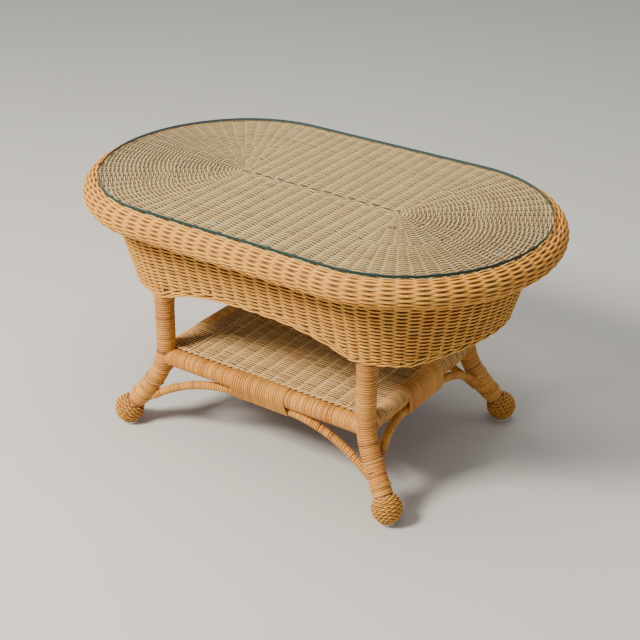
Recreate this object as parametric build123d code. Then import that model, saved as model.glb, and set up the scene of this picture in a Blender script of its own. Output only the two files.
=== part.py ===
"""Oval wicker coffee table: a glass top on a woven top with a rolled rim, a tapering apron with an
arched lower edge, four cane-wrapped legs on woven ball feet, and a woven shelf on wrapped rails with
bent braces below it.

The frame is +X along the table, +Y across it and +Z up. The origin is on the floor, under the middle
of the table. Every size is in millimetres. Each sub-part is written as parts/NODE.step.
"""

from build123d import *
import math
import os

# ---- driving dimensions -------------------------------------------------------------------------
TABLE_HEIGHT = 500.0
GLASS_HALF_LENGTH = 444.0
GLASS_HALF_WIDTH = 273.0
GLASS_THICKNESS = 6.0
GLASS_EDGE_ROUND = 1.5
STRAIGHT_HALF = 198.0  # half of the outline's straight side
SHOULDER_RADIUS = 225.0  # the outline's arc beside each straight side
PAD_RADIUS = 6.0
PAD_COUNT = 8
PAD_INSET = 34.0  # from the glass edge to a pad's centre
PAD_GAP = 0.1  # free space between a pad and the glass
TOP_GAP = 1.5  # from the woven top up to the glass
TOP_THICKNESS = 6.0
TOP_INSET = 16.5
ROLL_RADIUS = 26.0
ROLL_SKIN = 8.0
ROLL_OFFSET = 3.0  # the roll's middle stands this far outside the glass edge
ROLL_HEIGHT = 467.5
APRON_TOP = 452.0
APRON_FOOT = 297.0  # the apron's lower edge at the legs
APRON_TOP_INSET = 20.0
APRON_SLOPE = 15.8  # degrees that the apron leans inwards
APRON_SKIN = 5.0
SIDE_ARCH_RISE = 39.0
SIDE_ARCH_HALF = 205.0
END_ARCH_RISE = 26.0
END_ARCH_HALF = 165.0
LEG_X, LEG_Y = 228.0, 182.0
FOOT_X, FOOT_Y = 299.5, 217.4
POST_RADIUS = 16.0
POST_TOP = 462.0
LEG_RADIUS = 18.5  # the post with its cane wrapping
WRAP_TOP = 325.0
BEND_START = 185.0
BEND_ANGLE = 37.0
BALL_RADIUS = 29.5
BALL_HEIGHT = 30.0
GLIDE_HEIGHT = 5.0
GLIDE_RADIUS = 16.5
RAIL_CORE, RAIL_RADIUS = 15.0, 17.5
SIDE_RAIL_HEIGHT = 156.0
END_RAIL_HEIGHT = 158.0
SHELF_TOP = 175.5
SHELF_THICKNESS = 6.0
SHELF_HALF_LENGTH = 210.0
SHELF_HALF_WIDTH = 165.0
BAR_RADIUS = 8.0
BRACE_CORE, BRACE_RADIUS = 6.0, 8.0
BINDING_SKIN = 2.4
SCREW_RADIUS = 2.0
FIT = 0.15  # free space round a core inside its wrapping
MEET = 0.2  # free space where one piece is coped to another

SIDES = {"left": -1, "right": 1}
FACES = {"front": -1, "back": 1}
CORNERS = {f"{face}_{side}": (sx, sy) for face, sy in FACES.items() for side, sx in SIDES.items()}


# ---- outline of the top -------------------------------------------------------------------------
def outline(offset):
    """The oval's wire, moved outwards by offset: two straights, and three arcs round each end."""
    end_depth = GLASS_HALF_LENGTH - STRAIGHT_HALF
    span = end_depth**2 + GLASS_HALF_WIDTH**2 - 2 * GLASS_HALF_WIDTH * SHOULDER_RADIUS
    end_radius = span / (2 * (end_depth - SHOULDER_RADIUS))
    shoulder_y = GLASS_HALF_WIDTH - SHOULDER_RADIUS
    end_x = GLASS_HALF_LENGTH - end_radius
    turn = math.degrees(math.atan2(shoulder_y, STRAIGHT_HALF - end_x))
    width = GLASS_HALF_WIDTH + offset
    shoulder, end = SHOULDER_RADIUS + offset, end_radius + offset
    return Wire(
        [
            Line((-STRAIGHT_HALF, -width), (STRAIGHT_HALF, -width)),
            CenterArc((STRAIGHT_HALF, -shoulder_y), shoulder, -90, 90 - turn),
            CenterArc((end_x, 0), end, -turn, 2 * turn),
            CenterArc((STRAIGHT_HALF, shoulder_y), shoulder, turn, 90 - turn),
            Line((STRAIGHT_HALF, width), (-STRAIGHT_HALF, width)),
            CenterArc((-STRAIGHT_HALF, shoulder_y), shoulder, 90, 90 - turn),
            CenterArc((-end_x, 0), end, 180 - turn, 2 * turn),
            CenterArc((-STRAIGHT_HALF, -shoulder_y), shoulder, 180 + turn, 90 - turn),
        ]
    )


def slab(offset, low, thickness):
    return Pos(0, 0, low) * extrude(Face(outline(offset)), thickness)


def hoop(offset, height, radius):
    """A round pole bent to the oval, with its centreline at that offset and height."""
    path = outline(offset).moved(Location((0, 0, height)))
    section = Plane(path @ 0, x_dir=(0, 0, 1), z_dir=path % 0) * Circle(radius)
    return sweep(section, path)


def rod(start, end, radius):
    along = Vector(*end) - Vector(*start)
    return extrude(Plane(start, z_dir=along) * Circle(radius), along.length)


# ---- top ----------------------------------------------------------------------------------------
def glass_top():
    pane = slab(0, TABLE_HEIGHT - GLASS_THICKNESS, GLASS_THICKNESS)
    rims = pane.edges().group_by(Axis.Z)[-1] + pane.edges().group_by(Axis.Z)[0]
    return fillet(rims, GLASS_EDGE_ROUND)


def glass_bumpers():
    low = TABLE_HEIGHT - GLASS_THICKNESS - TOP_GAP
    ring = outline(-PAD_INSET)
    spots = [ring @ ((i + 0.5) / PAD_COUNT) for i in range(PAD_COUNT)]
    pad = Cylinder(PAD_RADIUS, TOP_GAP - PAD_GAP, align=(Align.CENTER, Align.CENTER, Align.MIN))
    return Compound([Pos(p.X, p.Y, low) * pad for p in spots])


def top_under():
    """Height of the woven top's underside."""
    return TABLE_HEIGHT - GLASS_THICKNESS - TOP_GAP - TOP_THICKNESS


def top_pieces():
    """The woven top, its rolled rim, and the poles that hold them up."""
    hoop_radius, cross_radius, slat_radius = 9.0, 12.0, 8.0
    hoop_offset = -37.0
    cross_end = 220.0
    cross_height = top_under() - cross_radius - MEET
    slat_height = top_under() - slat_radius - MEET
    slat_reach = LEG_X - cross_radius - MEET
    hoop_reach = GLASS_HALF_LENGTH + hoop_offset - hoop_radius - MEET
    skin = hoop(ROLL_OFFSET, ROLL_HEIGHT, ROLL_RADIUS) - hoop(
        ROLL_OFFSET, ROLL_HEIGHT, ROLL_RADIUS - ROLL_SKIN
    )
    pieces = {
        "top_weave": slab(-TOP_INSET, top_under(), TOP_THICKNESS),
        "rim_roll_weave": skin,
        "rim_core_hoop": hoop(ROLL_OFFSET, ROLL_HEIGHT, ROLL_RADIUS - ROLL_SKIN - FIT),
        "top_frame_hoop": hoop(hoop_offset, top_under() - hoop_radius - MEET, hoop_radius),
    }
    for side, sx in SIDES.items():
        x = sx * LEG_X
        pieces[f"top_cross_rail_{side}"] = rod(
            (x, -cross_end, cross_height), (x, cross_end, cross_height), cross_radius
        )
        near = x + sx * (cross_radius + MEET)
        pieces[f"top_end_slat_{side}"] = rod(
            (near, 0, slat_height), (sx * hoop_reach, 0, slat_height), slat_radius
        )
    for name, y in {"front": -95.0, "middle": 0.0, "back": 95.0}.items():
        pieces[f"top_slat_{name}"] = rod(
            (-slat_reach, y, slat_height), (slat_reach, y, slat_height), slat_radius
        )
    return pieces


# ---- apron --------------------------------------------------------------------------------------
def tapered(offset):
    """A solid that fills the apron's outline, narrowing downwards."""
    face = Pos(0, 0, APRON_TOP) * Face(outline(offset))
    return extrude(face, APRON_TOP - APRON_FOOT, dir=(0, 0, -1), taper=APRON_SLOPE)


def arch_cutter(half, rise, reach, plane):
    """A bar with an arched top, which hollows the apron's lower edge."""
    low = -40.0
    profile = Polyline((half, 0), (half, low), (-half, low), (-half, 0)) + ThreePointArc(
        (-half, 0), (0, rise), (half, 0)
    )
    return extrude(plane * make_face(profile), reach, both=True)


def apron_weave():
    shell = tapered(-APRON_TOP_INSET) - tapered(-APRON_TOP_INSET - APRON_SKIN)
    foot = (0, 0, APRON_FOOT)
    side_cut = arch_cutter(
        SIDE_ARCH_HALF, SIDE_ARCH_RISE, GLASS_HALF_WIDTH, Plane(foot, x_dir=(1, 0, 0), z_dir=(0, -1, 0))
    )
    end_cut = arch_cutter(
        END_ARCH_HALF, END_ARCH_RISE, GLASS_HALF_LENGTH, Plane(foot, x_dir=(0, 1, 0), z_dir=(1, 0, 0))
    )
    return shell - side_cut - end_cut


def apron_inner_hoop():
    height, radius, offset = 365.0, 8.0, -63.0
    return hoop(offset, height, radius)


# ---- legs ---------------------------------------------------------------------------------------
def leg_path(sx, sy, top):
    """Straight down from top, round a bend, and out to the foot's middle."""
    out_x, out_y = FOOT_X - LEG_X, FOOT_Y - LEG_Y
    reach = math.hypot(out_x, out_y)
    drop = BEND_START - BALL_HEIGHT
    turn = math.radians(BEND_ANGLE)
    sine, cosine = math.sin(turn), math.cos(turn)
    # radius * (1 - cosine) + run * sine = reach, and radius * sine + run * cosine = drop
    radius = (drop * sine - reach * cosine) / (sine**2 + cosine**2 - cosine)
    outwards = Vector(sx * out_x / reach, sy * out_y / reach, 0)
    start = Vector(sx * LEG_X, sy * LEG_Y, BEND_START)
    plane = Plane(start, x_dir=outwards, z_dir=outwards.cross(Vector(0, 0, 1)))

    def spot(angle):
        return plane.from_local_coords((radius * (1 - math.cos(angle)), -radius * math.sin(angle)))

    foot = Vector(sx * FOOT_X, sy * FOOT_Y, BALL_HEIGHT)
    return Wire(
        [
            Edge.make_line(Vector(sx * LEG_X, sy * LEG_Y, top), start),
            Edge.make_three_point_arc(start, spot(turn / 2), spot(turn)),
            Edge.make_line(spot(turn), foot),
        ]
    )


def leg_solid(sx, sy, radius, top):
    path = leg_path(sx, sy, top)
    return sweep(Plane(path @ 0, z_dir=path % 0) * Circle(radius), path)


def foot_ball(sx, sy, radius):
    return Pos(sx * FOOT_X, sy * FOOT_Y, BALL_HEIGHT) * Sphere(radius)


def leg_pieces():
    pieces = {}
    for corner, (sx, sy) in CORNERS.items():
        post = leg_solid(sx, sy, POST_RADIUS, POST_TOP)
        bore = leg_solid(sx, sy, POST_RADIUS + FIT, POST_TOP)
        sleeve = leg_solid(sx, sy, LEG_RADIUS, WRAP_TOP) - bore - foot_ball(sx, sy, BALL_RADIUS + MEET)
        below = Pos(sx * FOOT_X, sy * FOOT_Y, GLIDE_HEIGHT) * Box(
            4 * BALL_RADIUS, 4 * BALL_RADIUS, 2 * BALL_RADIUS, align=(Align.CENTER, Align.CENTER, Align.MAX)
        )
        glide = Pos(sx * FOOT_X, sy * FOOT_Y, 0) * Cylinder(
            GLIDE_RADIUS, GLIDE_HEIGHT, align=(Align.CENTER, Align.CENTER, Align.MIN)
        )
        pieces[f"leg_post_{corner}"] = post
        pieces[f"leg_wrap_{corner}"] = sleeve
        pieces[f"foot_ball_{corner}"] = foot_ball(sx, sy, BALL_RADIUS) - below - bore
        pieces[f"foot_glide_{corner}"] = chamfer(glide.edges().group_by(Axis.Z)[0], 1.2)
    return pieces


def glide_nails():
    nail_radius, nail_length, recess = 1.5, 18.0, 0.8
    nail = Cylinder(nail_radius, nail_length, align=(Align.CENTER, Align.CENTER, Align.MIN))
    return Compound([Pos(sx * FOOT_X, sy * FOOT_Y, recess) * nail for sx, sy in CORNERS.values()])


# ---- shelf --------------------------------------------------------------------------------------
def cope(piece, radius):
    """Cuts the piece back from all four legs and keeps its middle."""
    for sx, sy in CORNERS.values():
        piece = piece - leg_solid(sx, sy, radius, WRAP_TOP)
    return max(piece.solids(), key=lambda solid: solid.volume)


def shelf_pieces():
    """The rails with their cane wrapping, the woven shelf, and the bars below it."""
    clear = LEG_RADIUS + MEET
    pieces = {}
    for face, sy in FACES.items():
        a, b = (-LEG_X, sy * LEG_Y, SIDE_RAIL_HEIGHT), (LEG_X, sy * LEG_Y, SIDE_RAIL_HEIGHT)
        pieces[f"shelf_rail_{face}"] = cope(rod(a, b, RAIL_CORE), clear)
        pieces[f"rail_wrap_{face}"] = cope(rod(a, b, RAIL_RADIUS) - rod(a, b, RAIL_CORE + FIT), clear)
    side_rails = [
        rod((-LEG_X, sy * LEG_Y, SIDE_RAIL_HEIGHT), (LEG_X, sy * LEG_Y, SIDE_RAIL_HEIGHT), RAIL_RADIUS + MEET)
        for sy in FACES.values()
    ]
    for side, sx in SIDES.items():
        a, b = (sx * LEG_X, -LEG_Y, END_RAIL_HEIGHT), (sx * LEG_X, LEG_Y, END_RAIL_HEIGHT)
        core = rod(a, b, RAIL_CORE) - side_rails[0] - side_rails[1]
        wrap = rod(a, b, RAIL_RADIUS) - rod(a, b, RAIL_CORE + FIT) - side_rails[0] - side_rails[1]
        pieces[f"shelf_rail_{side}"] = cope(core, clear)
        pieces[f"rail_wrap_{side}"] = cope(wrap, clear)
    pieces["shelf_weave"] = Pos(0, 0, SHELF_TOP) * Box(
        2 * SHELF_HALF_LENGTH, 2 * SHELF_HALF_WIDTH, SHELF_THICKNESS,
        align=(Align.CENTER, Align.CENTER, Align.MAX),
    )
    bar_height = SHELF_TOP - SHELF_THICKNESS - BAR_RADIUS - MEET
    rail_face = LEG_Y - RAIL_RADIUS - MEET
    bound_face = rail_face - FIT - BINDING_SKIN
    bars = {"left": (-130.0, rail_face), "middle": (0.0, bound_face), "right": (130.0, rail_face)}
    for name, (x, reach) in bars.items():
        pieces[f"shelf_bar_{name}"] = rod((x, -reach, bar_height), (x, reach, bar_height), BAR_RADIUS)
    return pieces


# ---- braces -------------------------------------------------------------------------------------
class Brace:
    """One bent brace: straight under its rail's middle, then an arc down to a leg at each end."""

    def __init__(self, middle, end, straight, rail, name):
        self.middle, self.end, self.straight = Vector(*middle), Vector(*end), straight
        self.rail, self.name = Vector(*rail), name
        self.along = Vector(1, 0, 0) if middle[0] == 0 else Vector(0, 1, 0)

    def path(self):
        reach = (self.end - self.middle).dot(self.along)
        fall = self.end - self.middle - self.along * reach
        down, depth = fall.normalized(), fall.length
        run = reach - self.straight
        turn = 2 * math.atan2(depth, run)
        radius = run / math.sin(turn)

        def spot(sign, angle):
            side = self.straight + radius * math.sin(angle)
            return self.middle + self.along * (sign * side) + down * (radius * (1 - math.cos(angle)))

        over = turn * 1.06  # runs a little into the leg, where it is coped
        return Wire(
            [
                Edge.make_three_point_arc(spot(-1, over), spot(-1, over / 2), spot(-1, 0)),
                Edge.make_line(spot(-1, 0), spot(1, 0)),
                Edge.make_three_point_arc(spot(1, 0), spot(1, over / 2), spot(1, over)),
            ]
        )

    def solid(self, radius):
        path = self.path()
        return sweep(Plane(path @ 0, z_dir=path % 0) * Circle(radius), path)

    def sleeve(self, rail_radius, brace_radius, half):
        """A bar with the taut outline of a band round both poles."""
        across = (self.middle - self.rail).normalized()
        plane = Plane(self.rail - self.along * half, x_dir=across, z_dir=self.along)
        gap = (self.middle - self.rail).length
        slant = math.acos((rail_radius - brace_radius) / gap)
        c, s = math.cos(slant), math.sin(slant)
        band = Polygon(
            (rail_radius * c, -rail_radius * s),
            (gap + brace_radius * c, -brace_radius * s),
            (gap + brace_radius * c, brace_radius * s),
            (rail_radius * c, rail_radius * s),
            align=None,
        )
        face = Circle(rail_radius) + band + Pos(gap, 0) * Circle(brace_radius)
        return extrude(plane * face, 2 * half)


def braces():
    side_drop = RAIL_RADIUS + BRACE_RADIUS + MEET
    end_shift = 11.0
    end_drop = math.sqrt(side_drop**2 - end_shift**2)
    made = []
    for face, sy in FACES.items():
        y = sy * LEG_Y
        middle, end = (0, y, SIDE_RAIL_HEIGHT - side_drop), (252.0, y + sy * 16.0, 65.0)
        made.append(Brace(middle, end, 50.0, (0, y, SIDE_RAIL_HEIGHT), face))
    for side, sx in SIDES.items():
        x = sx * LEG_X
        middle, end = (x + sx * end_shift, 0, END_RAIL_HEIGHT - end_drop), (x + sx * 34.0, 188.0, 78.0)
        made.append(Brace(middle, end, 64.0, (x, 0, END_RAIL_HEIGHT), side))
    return made


def brace_pieces():
    binding_half = 62.0
    pieces = {}
    for brace in braces():
        core = cope(brace.solid(BRACE_CORE), LEG_RADIUS + MEET)
        wrap = cope(brace.solid(BRACE_RADIUS) - brace.solid(BRACE_CORE + FIT), LEG_RADIUS + MEET)
        outer = brace.sleeve(RAIL_RADIUS + FIT + BINDING_SKIN, BRACE_RADIUS + FIT + BINDING_SKIN, binding_half)
        inner = brace.sleeve(RAIL_RADIUS + 2 * FIT, BRACE_RADIUS + 2 * FIT, binding_half)
        pieces[f"brace_{brace.name}"] = core
        pieces[f"brace_wrap_{brace.name}"] = wrap
        pieces[f"binding_{brace.name}"] = outer - inner
    return pieces


def ankle_ties():
    """A cane band round each ankle, just below where the braces meet the leg."""
    width, skin, back = 5.0, 1.8, 43.0
    bands = []
    for sx, sy in CORNERS.values():
        path = leg_path(sx, sy, WRAP_TOP)
        along = path % 1
        low = path @ 1 - along * back
        plane = Plane(low, z_dir=along)
        ring = Circle(LEG_RADIUS + MEET + skin) - Circle(LEG_RADIUS + MEET)
        bands.append(extrude(plane * ring, width))
    return Compound([band.solid() for band in bands])


# ---- fasteners ----------------------------------------------------------------------------------
def frame_screws():
    """One wood screw through each leg into each rail, and one up into each cross rail."""
    reach, bite = POST_RADIUS - 1.0, 42.0
    shanks = []
    for sx, sy in CORNERS.values():
        x, y, lift = sx * LEG_X, sy * LEG_Y, 9.0
        side_z, end_z = SIDE_RAIL_HEIGHT - lift, END_RAIL_HEIGHT + lift
        shanks.append(rod((x + sx * reach, y, side_z), (x - sx * bite, y, side_z), SCREW_RADIUS))
        shanks.append(rod((x, y + sy * reach, end_z), (x, y - sy * bite, end_z), SCREW_RADIUS))
        shanks.append(rod((x, y, POST_TOP - bite), (x, y, POST_TOP + reach), SCREW_RADIUS))
    return Compound([shank.solid() for shank in shanks])


def main():
    os.makedirs("parts", exist_ok=True)
    pieces = {"glass_top": glass_top(), "glass_bumpers": glass_bumpers(), "apron_weave": apron_weave()}
    pieces["apron_inner_hoop"] = apron_inner_hoop()
    pieces.update(top_pieces())
    pieces.update(leg_pieces())
    pieces.update(shelf_pieces())
    pieces.update(brace_pieces())
    pieces.update({"ankle_ties": ankle_ties(), "frame_screws": frame_screws(), "glide_nails": glide_nails()})
    for name, shape in pieces.items():
        export_step(shape, f"parts/{name}.step")
    print(len(pieces), "nodes")


main()
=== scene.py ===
"""The looks of an oval wicker coffee table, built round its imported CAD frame.

Every woven surface is made of its own round reeds: weavers that pass in front of and behind stakes.
Every wrapped pole is one band of cane wound round the pole's path. All lengths are in metres, and every
place comes from the frame's boxes and from the sizes named below.
"""

import math

import bpy
import numpy as np
from mathutils import Matrix, Vector


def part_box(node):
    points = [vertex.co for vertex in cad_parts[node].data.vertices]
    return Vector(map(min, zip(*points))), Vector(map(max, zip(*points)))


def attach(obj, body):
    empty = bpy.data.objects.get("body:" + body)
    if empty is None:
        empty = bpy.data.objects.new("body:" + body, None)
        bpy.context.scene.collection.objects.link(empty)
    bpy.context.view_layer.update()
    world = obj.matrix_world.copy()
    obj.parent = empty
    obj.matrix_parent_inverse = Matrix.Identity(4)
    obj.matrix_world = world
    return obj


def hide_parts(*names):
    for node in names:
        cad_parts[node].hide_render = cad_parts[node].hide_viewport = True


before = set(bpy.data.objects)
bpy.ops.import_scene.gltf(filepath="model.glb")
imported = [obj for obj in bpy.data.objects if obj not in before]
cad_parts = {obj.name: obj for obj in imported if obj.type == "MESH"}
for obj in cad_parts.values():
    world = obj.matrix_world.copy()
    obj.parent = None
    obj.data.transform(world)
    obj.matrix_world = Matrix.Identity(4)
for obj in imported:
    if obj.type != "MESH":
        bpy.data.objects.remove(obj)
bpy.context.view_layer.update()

# ---- sizes --------------------------------------------------------------------------------------
MM = 0.001
STRAIGHT_HALF = 198 * MM  # half of the glass outline's straight side
SHOULDER_RADIUS = 225 * MM
SPINE_HALF = 171 * MM  # half of the line that the top's rows close round
REED = 2.25 * MM  # radius of a weaver in the apron
ROLL_REED = 2.45 * MM  # in the rim
FINE_REED = 1.7 * MM  # in the top
MAT_REED = 1.6 * MM  # in the shelf
REED_SIDES = 6
STAKE, STAKE_FLAT = 2.8 * MM, 0.36  # half the width of a flat stake, and its thickness as a share
STAKES_SET = 5  # flat stakes stand closely side by side, this many to a space
ROUND_STAKE = 1.7 * MM
SIDE_STAKES, END_STAKES = 13, 32  # stake spaces along one straight side, and round one end
CROSSING = (0.0, 0.2, 0.36, 0.5, 0.64, 0.8)  # where a weaver has points, from one stake to the next
OUTLINE_SAMPLES = 200  # on each straight line and arc of the outline
APRON_TOP, APRON_FOOT = 452 * MM, 297 * MM
APRON_TOP_INSET = 20 * MM
APRON_SLOPE = math.tan(math.radians(15.8))
SIDE_ARCH, END_ARCH = (205 * MM, 38 * MM), (165 * MM, 25 * MM)  # half width and rise
ARCH_POWER = 2.6  # how flat an arch is in its middle
HEM_LEVEL = 310 * MM  # the height whose outline places the arches
POST_RADIUS, LEG_RADIUS, WRAP_TOP = 16 * MM, 18.5 * MM, 325 * MM
BEND_START, BEND_ANGLE = 185 * MM, math.radians(37)
CANE_PITCH, CANE_RISE = 4.8 * MM, 1.3 * MM  # from turn to turn, and how deep the lines between them are
BAND = np.array([-0.5, -0.34, 0.0, 0.34, 0.5])  # places across a band of cane, as a share of its pitch
BAND_CROWN = np.array([-0.95, 0.0, 0.25, 0.0, -0.95])  # its height there, as a share of the rise
BAND_SHADE = np.array([1.0, 0.78, 0.0, 0.78, 1.0])  # and how much brown painted shade it takes there
SWELL_END, SWELL_FADE = 66 * MM, 42 * MM  # how far down a leg its wider top reaches, and fades
PATH_STEP = 3 * MM  # between the points of a wound path
RAILS = ("front", "back", "left", "right")
RAIL_RADIUS = 17.5 * MM
RAIL_RELIEF = (0.72, 1.15)  # depth and painted shade of the lines in the winding on the long sides' rails, and on the ends'
BRACE_CORE, BRACE_RADIUS = 6 * MM, 8 * MM
BRACE_ENDS = (  # how far along and out from the rail a brace ends, how high, and half its straight run
    (252 * MM, 16 * MM, 65 * MM, 50 * MM),  # under the long sides
    (188 * MM, 34 * MM, 78 * MM, 64 * MM),  # under the ends
)
BINDING_SKIN = 2.4 * MM
ANKLE_TIE, ANKLE_STAPLE, ANKLE_BAND = 88 * MM, 66 * MM, 41 * MM  # from the foot's centre, up the leg
CORNERS = {"front_left": (-1, -1), "front_right": (1, -1), "back_left": (-1, 1), "back_right": (1, 1)}
RNG = np.random.default_rng(493)


# ---- strands and meshes -------------------------------------------------------------------------
def unit(v):
    """The same directions, each with length 1."""
    return v / np.maximum(np.linalg.norm(v, axis=-1, keepdims=True), 1e-12)


def wander(count, knots, size):
    """A random line with about that many bends, as count values."""
    values = RNG.normal(0, size, knots + 3)
    return np.interp(np.linspace(0, knots, count), np.arange(knots + 3), values)


def wander_loop(count, waves, size):
    """A smooth random line for a closed row, so that its end meets its start."""
    turn = np.linspace(0, 2 * math.pi, count, endpoint=False)
    line = np.zeros(count)
    for wave in range(1, waves + 1):
        line += RNG.normal(0, 1) * np.sin(wave * turn + RNG.uniform(0, 6.3))
    return line * size / math.sqrt(waves)


def run_along(points):
    """The length from a line's first point to each of its points."""
    return np.concatenate([[0], np.cumsum(np.linalg.norm(np.diff(points, axis=0), axis=1))])


def resample(places, run, table):
    """The table's columns, read at those places along its run."""
    return np.stack([np.interp(places, run, column) for column in table.T], axis=-1)


class Bundle:
    """Gathers strands into one mesh. tone varies from strand to strand, and the painted shade is 1 on a
    strand's sides.
    """

    def __init__(self):
        self.parts, self.quads, self.tones, self.flanks, self.count = [], [], [], [], 0

    def grid(self, points, tone, flank, closed=False, across=False, keep=None):
        """Adds S surfaces of N by K points. closed joins the ends of N, and across those of K."""
        s, n, k, _ = points.shape
        index = np.arange(s * n * k).reshape(s, n, k) + self.count
        ahead = np.roll(index, -1, axis=1)
        beside, both = np.roll(index, -1, axis=2), np.roll(ahead, -1, axis=2)
        quads = np.stack([index, ahead, both, beside], axis=-1)
        shown = np.ones((s, n, k), bool)
        if not closed:
            shown[:, -1] = False
        if not across:
            shown[:, :, -1] = False
        if keep is not None:
            shown &= (keep & np.roll(keep, -1, axis=1))[:, :, None]
        self.parts.append(points.reshape(-1, 3))
        self.quads.append(quads[shown])
        self.tones.append(np.broadcast_to(tone, (s, n, k)).reshape(-1))
        self.flanks.append(np.broadcast_to(flank, (s, n, k)).reshape(-1))
        self.count += s * n * k

    def reeds(self, points, normals, radius, tone, closed=False, keep=None, flat=1.0, hidden=0.0, edge=0.95):
        """Adds S reeds through (S, N, 3) points, lying on a surface with those normals.

        edge says how much painted shade darkens a reed's sides, and hidden, 1 where it lies behind the
        others, paints shade over the whole reed there.
        """
        if closed:
            run = np.roll(points, -1, axis=1) - np.roll(points, 1, axis=1)
        else:
            run = np.gradient(points, axis=1)
        run = unit(run)
        side = unit(np.cross(run, normals))
        up = np.cross(side, run)
        turn = np.arange(REED_SIDES) * 2 * math.pi / REED_SIDES
        radius = np.broadcast_to(radius, points.shape[:2])[:, :, None, None]
        ring = up[:, :, None] * (np.cos(turn) * flat)[:, None] + side[:, :, None] * np.sin(turn)[:, None]
        tone = np.broadcast_to(np.asarray(tone)[..., None], (*points.shape[:2], REED_SIDES))
        hidden = np.broadcast_to(hidden, points.shape[:2])[..., None]
        flank = np.maximum(np.abs(np.sin(turn)) * edge, hidden)
        self.grid(points[:, :, None] + ring * radius, tone, flank, closed, True, keep)

    def build(self, name, material, *nodes, slot):
        points = np.concatenate(self.parts)
        quads = np.concatenate(self.quads)
        used, quads = np.unique(quads, return_inverse=True)
        quads = quads.reshape(-1, 4)
        mesh = bpy.data.meshes.new(name)
        mesh.vertices.add(len(used))
        mesh.vertices.foreach_set("co", points[used].astype(np.float32).ravel())
        mesh.loops.add(quads.size)
        mesh.loops.foreach_set("vertex_index", quads.astype(np.int32).ravel())
        mesh.polygons.add(len(quads))
        mesh.polygons.foreach_set("loop_start", np.arange(0, quads.size, 4, dtype=np.int32))
        mesh.polygons.foreach_set("use_smooth", np.ones(len(quads), bool))
        for label, values in (("tone", self.tones), ("flank", self.flanks)):
            layer = mesh.attributes.new(label, "FLOAT", "POINT")
            layer.data.foreach_set("value", np.concatenate(values)[used].astype(np.float32))
        mesh.update(calc_edges=True)
        mesh.validate()
        mesh.materials.append(material)
        obj = bpy.data.objects.new(name, mesh)
        bpy.context.scene.collection.objects.link(obj)
        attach(obj, "table")
        if nodes:
            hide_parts(*nodes)
        return obj


# ---- materials ----------------------------------------------------------------------------------
def node_material(name):
    """A new material with its node tree and its shader."""
    material = bpy.data.materials.new(name)
    material.use_nodes = True
    tree = material.node_tree
    return material, tree, tree.nodes["Principled BSDF"]


def noise(tree, scale, detail, stretch=(1, 1, 1)):
    """Noise fixed to the object, with that many features to the metre."""
    place = tree.nodes.new("ShaderNodeTexCoord")
    mapping = tree.nodes.new("ShaderNodeMapping")
    mapping.inputs["Scale"].default_value = stretch
    texture = tree.nodes.new("ShaderNodeTexNoise")
    texture.inputs["Scale"].default_value = scale
    texture.inputs["Detail"].default_value = detail
    tree.links.new(place.outputs["Object"], mapping.inputs["Vector"])
    tree.links.new(mapping.outputs["Vector"], texture.inputs["Vector"])
    return texture.outputs["Fac"]


def ramp(tree, fac, stops):
    """A colour for each value of fac, between (place, colour) stops."""
    node = tree.nodes.new("ShaderNodeValToRGB")
    while len(node.color_ramp.elements) < len(stops):
        node.color_ramp.elements.new(0.5)
    for element, (place, colour) in zip(node.color_ramp.elements, stops):
        element.position = place
        element.color = (*colour, 1)
    tree.links.new(fac, node.inputs["Fac"])
    return node.outputs["Color"]


def mix(tree, kind, fac, a, b):
    """Colour b laid over colour a. Each input is a number, a colour or another node's output."""
    node = tree.nodes.new("ShaderNodeMix")
    node.data_type = "RGBA"
    node.blend_type = kind
    for socket, value in ((node.inputs["Factor"], fac), (node.inputs[6], a), (node.inputs[7], b)):
        if isinstance(value, (int, float)):
            socket.default_value = value
        elif isinstance(value, tuple):
            socket.default_value = (*value, 1)
        else:
            tree.links.new(value, socket)
    return node.outputs[2]


def maths(tree, kind, a, b):
    """A sum on numbers or other nodes' outputs, kept between 0 and 1."""
    node = tree.nodes.new("ShaderNodeMath")
    node.operation = kind
    node.use_clamp = True
    for socket, value in zip(node.inputs, (a, b)):
        if isinstance(value, (int, float)):
            socket.default_value = value
        else:
            tree.links.new(value, socket)
    return node.outputs["Value"]


def surface(tree, shader, fac, low, high, strength, depth):
    """Sets roughness between low and high by fac, and a bump from it."""
    spread = tree.nodes.new("ShaderNodeMapRange")
    spread.inputs["To Min"].default_value = low
    spread.inputs["To Max"].default_value = high
    tree.links.new(fac, spread.inputs["Value"])
    tree.links.new(spread.outputs["Result"], shader.inputs["Roughness"])
    bump = tree.nodes.new("ShaderNodeBump")
    bump.inputs["Strength"].default_value = strength
    bump.inputs["Distance"].default_value = depth
    tree.links.new(fac, bump.inputs["Height"])
    tree.links.new(bump.outputs["Normal"], shader.inputs["Normal"])


FLECKS, PATCHES = 420.0, 14.0  # noise scales: flecks finer than a reed, patches as wide as a hand
SHADE_SHARE = 0.92  # how much of the painted shade's colour the deepest creases take


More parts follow.
